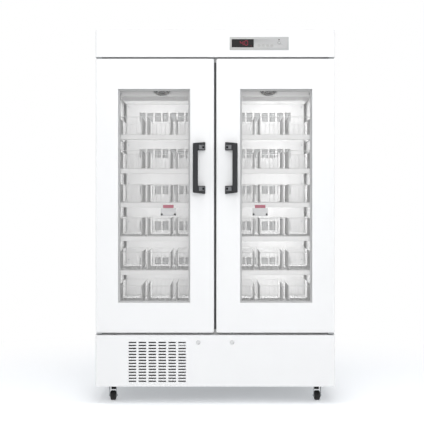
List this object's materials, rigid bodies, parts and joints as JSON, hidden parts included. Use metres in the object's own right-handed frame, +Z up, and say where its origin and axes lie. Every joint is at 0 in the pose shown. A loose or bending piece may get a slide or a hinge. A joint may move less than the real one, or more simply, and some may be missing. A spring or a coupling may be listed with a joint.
{
  "type": "blood bank refrigerator",
  "caption": "Upright blood bank refrigerator on casters with glazed doors, sliding shelves of baskets, door locks, a digital control panel and a grilled base.",
  "frame": {"origin": "centre of the bounding box on the floor plane, handles included", "axes": "+Z up, the doors face -Y, +X is to the right as seen from the front"},
  "size_m": [1.22, 0.77, 1.9],
  "materials": {
    "white_paint": "satin",
    "door_white": "satin",
    "liner_white": "satin",
    "liner_white_plastic": "satin",
    "foam": "matte",
    "frame_steel": "satin",
    "panel_grey": "satin",
    "display_dark": "gloss",
    "button_white": "gloss",
    "fin_aluminium": "satin",
    "runner_steel": "satin",
    "hinge_steel": "satin",
    "black_plastic": "satin",
    "black_iron": "satin",
    "clear_glass": "gloss",
    "spacer_grey": "satin",
    "gasket_rubber": "matte",
    "handle_black": "satin",
    "lock_chrome": "polished",
    "basket_white": "satin",
    "caster_zinc": "satin",
    "wheel_rubber": "matte"
  },
  "bodies": {
    "cabinet": {"left_side_panel": "white_paint", "right_side_panel": "white_paint", "top_panel": "white_paint", "header_panel": "white_paint", "lower_front_panel": "white_paint", "back_panel": "white_paint", "insulation_foam": "foam", "inner_liner": "liner_white", "centre_mullion": "liner_white_plastic", "base_frame": "frame_steel", "control_panel": "panel_grey", "display_window": "display_dark", "evaporator_cover": "liner_white", "evaporator": "fin_aluminium", "rear_duct_panel": "liner_white", "shelf_runners": "runner_steel", "hinge_brackets": "hinge_steel", "mains_gland": "black_plastic", "compressor": "black_iron", "condenser": "fin_aluminium"},
    "left_door": {"left_door_frame": "door_white", "left_door_glass": "clear_glass", "left_door_glass_spacer": "spacer_grey", "left_door_inner_frame": "liner_white_plastic", "left_door_gasket": "gasket_rubber", "left_door_fittings": "hinge_steel", "left_door_handle": "handle_black"},
    "left_shelf_1": {"left_shelf_1": "basket_white"},
    "left_shelf_2": {"left_shelf_2": "basket_white"},
    "left_shelf_3": {"left_shelf_3": "basket_white"},
    "left_shelf_4": {"left_shelf_4": "basket_white"},
    "left_shelf_5": {"left_shelf_5": "basket_white"},
    "left_shelf_6": {"left_shelf_6": "basket_white"},
    "left_door_lock": {"left_door_lock": "lock_chrome"},
    "left_evaporator_fan": {"left_evaporator_fan": "black_plastic"},
    "front_left_caster": {"front_left_caster_fork": "caster_zinc"},
    "front_left_wheel": {"front_left_caster_wheel": "wheel_rubber"},
    "rear_left_caster": {"rear_left_caster_fork": "caster_zinc"},
    "rear_left_wheel": {"rear_left_caster_wheel": "wheel_rubber"},
    "right_door": {"right_door_frame": "door_white", "right_door_glass": "clear_glass", "right_door_glass_spacer": "spacer_grey", "right_door_inner_frame": "liner_white_plastic", "right_door_gasket": "gasket_rubber", "right_door_fittings": "hinge_steel", "right_door_handle": "handle_black"},
    "right_shelf_1": {"right_shelf_1": "basket_white"},
    "right_shelf_2": {"right_shelf_2": "basket_white"},
    "right_shelf_3": {"right_shelf_3": "basket_white"},
    "right_shelf_4": {"right_shelf_4": "basket_white"},
    "right_shelf_5": {"right_shelf_5": "basket_white"},
    "right_shelf_6": {"right_shelf_6": "basket_white"},
    "right_door_lock": {"right_door_lock": "lock_chrome"},
    "right_evaporator_fan": {"right_evaporator_fan": "black_plastic"},
    "front_right_caster": {"front_right_caster_fork": "caster_zinc"},
    "front_right_wheel": {"front_right_caster_wheel": "wheel_rubber"},
    "rear_right_caster": {"rear_right_caster_fork": "caster_zinc"},
    "rear_right_wheel": {"rear_right_caster_wheel": "wheel_rubber"},
    "condenser_fan": {"condenser_fan": "black_plastic"},
    "alarm_mute_button": {"alarm_mute_button": "button_white"}
  },
  "joints": [
    {"name": "left_door_hinge", "type": "hinge", "parent": "cabinet", "child": "left_door", "pos_m": [-0.59, -0.315, 1.0575], "axis": [0, 0, -1], "range_deg": [0, 120]},
    {"name": "left_shelf_1_slide", "type": "slide", "parent": "cabinet", "child": "left_shelf_1", "axis": [0, -1, 0], "range_m": [0, 0.22]},
    {"name": "left_shelf_2_slide", "type": "slide", "parent": "cabinet", "child": "left_shelf_2", "axis": [0, -1, 0], "range_m": [0, 0.22]},
    {"name": "left_shelf_3_slide", "type": "slide", "parent": "cabinet", "child": "left_shelf_3", "axis": [0, -1, 0], "range_m": [0, 0.22]},
    {"name": "left_shelf_4_slide", "type": "slide", "parent": "cabinet", "child": "left_shelf_4", "axis": [0, -1, 0], "range_m": [0, 0.22]},
    {"name": "left_shelf_5_slide", "type": "slide", "parent": "cabinet", "child": "left_shelf_5", "axis": [0, -1, 0], "range_m": [0, 0.22]},
    {"name": "left_shelf_6_slide", "type": "slide", "parent": "cabinet", "child": "left_shelf_6", "axis": [0, -1, 0], "range_m": [0, 0.22]},
    {"name": "left_lock_turn", "type": "hinge", "parent": "cabinet", "child": "left_door_lock", "pos_m": [-0.086, -0.337, 0.313], "axis": [0, 1, 0], "range_deg": [0, 90]},
    {"name": "left_evaporator_fan_spin", "type": "hinge", "parent": "cabinet", "child": "left_evaporator_fan", "pos_m": [-0.275, -0.2125, 1.632], "axis": [0, 1, 0], "continuous": true},
    {"name": "front_left_caster_swivel", "type": "hinge", "parent": "cabinet", "child": "front_left_caster", "pos_m": [-0.527, -0.253, 0.092], "axis": [0, 0, 1], "continuous": true},
    {"name": "front_left_wheel_roll", "type": "hinge", "parent": "front_left_caster", "child": "front_left_wheel", "pos_m": [-0.527, -0.235, 0.025], "axis": [1, 0, 0], "continuous": true},
    {"name": "rear_left_caster_swivel", "type": "hinge", "parent": "cabinet", "child": "rear_left_caster", "pos_m": [-0.527, 0.301, 0.092], "axis": [0, 0, 1], "continuous": true},
    {"name": "rear_left_wheel_roll", "type": "hinge", "parent": "rear_left_caster", "child": "rear_left_wheel", "pos_m": [-0.527, 0.319, 0.025], "axis": [1, 0, 0], "continuous": true},
    {"name": "right_door_hinge", "type": "hinge", "parent": "cabinet", "child": "right_door", "pos_m": [0.59, -0.315, 1.0575], "axis": [0, 0, 1], "range_deg": [0, 120]},
    {"name": "right_shelf_1_slide", "type": "slide", "parent": "cabinet", "child": "right_shelf_1", "axis": [0, -1, 0], "range_m": [0, 0.22]},
    {"name": "right_shelf_2_slide", "type": "slide", "parent": "cabinet", "child": "right_shelf_2", "axis": [0, -1, 0], "range_m": [0, 0.22]},
    {"name": "right_shelf_3_slide", "type": "slide", "parent": "cabinet", "child": "right_shelf_3", "axis": [0, -1, 0], "range_m": [0, 0.22]},
    {"name": "right_shelf_4_slide", "type": "slide", "parent": "cabinet", "child": "right_shelf_4", "axis": [0, -1, 0], "range_m": [0, 0.22]},
    {"name": "right_shelf_5_slide", "type": "slide", "parent": "cabinet", "child": "right_shelf_5", "axis": [0, -1, 0], "range_m": [0, 0.22]},
    {"name": "right_shelf_6_slide", "type": "slide", "parent": "cabinet", "child": "right_shelf_6", "axis": [0, -1, 0], "range_m": [0, 0.22]},
    {"name": "right_lock_turn", "type": "hinge", "parent": "cabinet", "child": "right_door_lock", "pos_m": [0.086, -0.337, 0.313], "axis": [0, -1, 0], "range_deg": [0, 90]},
    {"name": "right_evaporator_fan_spin", "type": "hinge", "parent": "cabinet", "child": "right_evaporator_fan", "pos_m": [0.275, -0.2125, 1.632], "axis": [0, 1, 0], "continuous": true},
    {"name": "front_right_caster_swivel", "type": "hinge", "parent": "cabinet", "child": "front_right_caster", "pos_m": [0.527, -0.253, 0.092], "axis": [0, 0, 1], "continuous": true},
    {"name": "front_right_wheel_roll", "type": "hinge", "parent": "front_right_caster", "child": "front_right_wheel", "pos_m": [0.527, -0.235, 0.025], "axis": [1, 0, 0], "continuous": true},
    {"name": "rear_right_caster_swivel", "type": "hinge", "parent": "cabinet", "child": "rear_right_caster", "pos_m": [0.527, 0.301, 0.092], "axis": [0, 0, 1], "continuous": true},
    {"name": "rear_right_wheel_roll", "type": "hinge", "parent": "rear_right_caster", "child": "rear_right_wheel", "pos_m": [0.527, 0.319, 0.025], "axis": [1, 0, 0], "continuous": true},
    {"name": "condenser_fan_spin", "type": "hinge", "parent": "cabinet", "child": "condenser_fan", "pos_m": [-0.295, -0.198, 0.229], "axis": [0, 1, 0], "continuous": true},
    {"name": "alarm_mute_press", "type": "slide", "parent": "cabinet", "child": "alarm_mute_button", "axis": [0, 1, 0], "range_m": [0, 0.001], "stiffness_N_per_m": 400, "springref_m": -0.001}
  ],
  "couplings": [
    {"joint": "left_shelf_1_slide", "follows": "left_door_hinge", "m_per_rad": 0.105},
    {"joint": "left_shelf_2_slide", "follows": "left_door_hinge", "m_per_rad": 0.105},
    {"joint": "left_shelf_3_slide", "follows": "left_door_hinge", "m_per_rad": 0.105},
    {"joint": "left_shelf_4_slide", "follows": "left_door_hinge", "m_per_rad": 0.105},
    {"joint": "left_shelf_5_slide", "follows": "left_door_hinge", "m_per_rad": 0.105},
    {"joint": "left_shelf_6_slide", "follows": "left_door_hinge", "m_per_rad": 0.105},
    {"joint": "right_shelf_1_slide", "follows": "right_door_hinge", "m_per_rad": 0.105},
    {"joint": "right_shelf_2_slide", "follows": "right_door_hinge", "m_per_rad": 0.105},
    {"joint": "right_shelf_3_slide", "follows": "right_door_hinge", "m_per_rad": 0.105},
    {"joint": "right_shelf_4_slide", "follows": "right_door_hinge", "m_per_rad": 0.105},
    {"joint": "right_shelf_5_slide", "follows": "right_door_hinge", "m_per_rad": 0.105},
    {"joint": "right_shelf_6_slide", "follows": "right_door_hinge", "m_per_rad": 0.105}
  ]
}
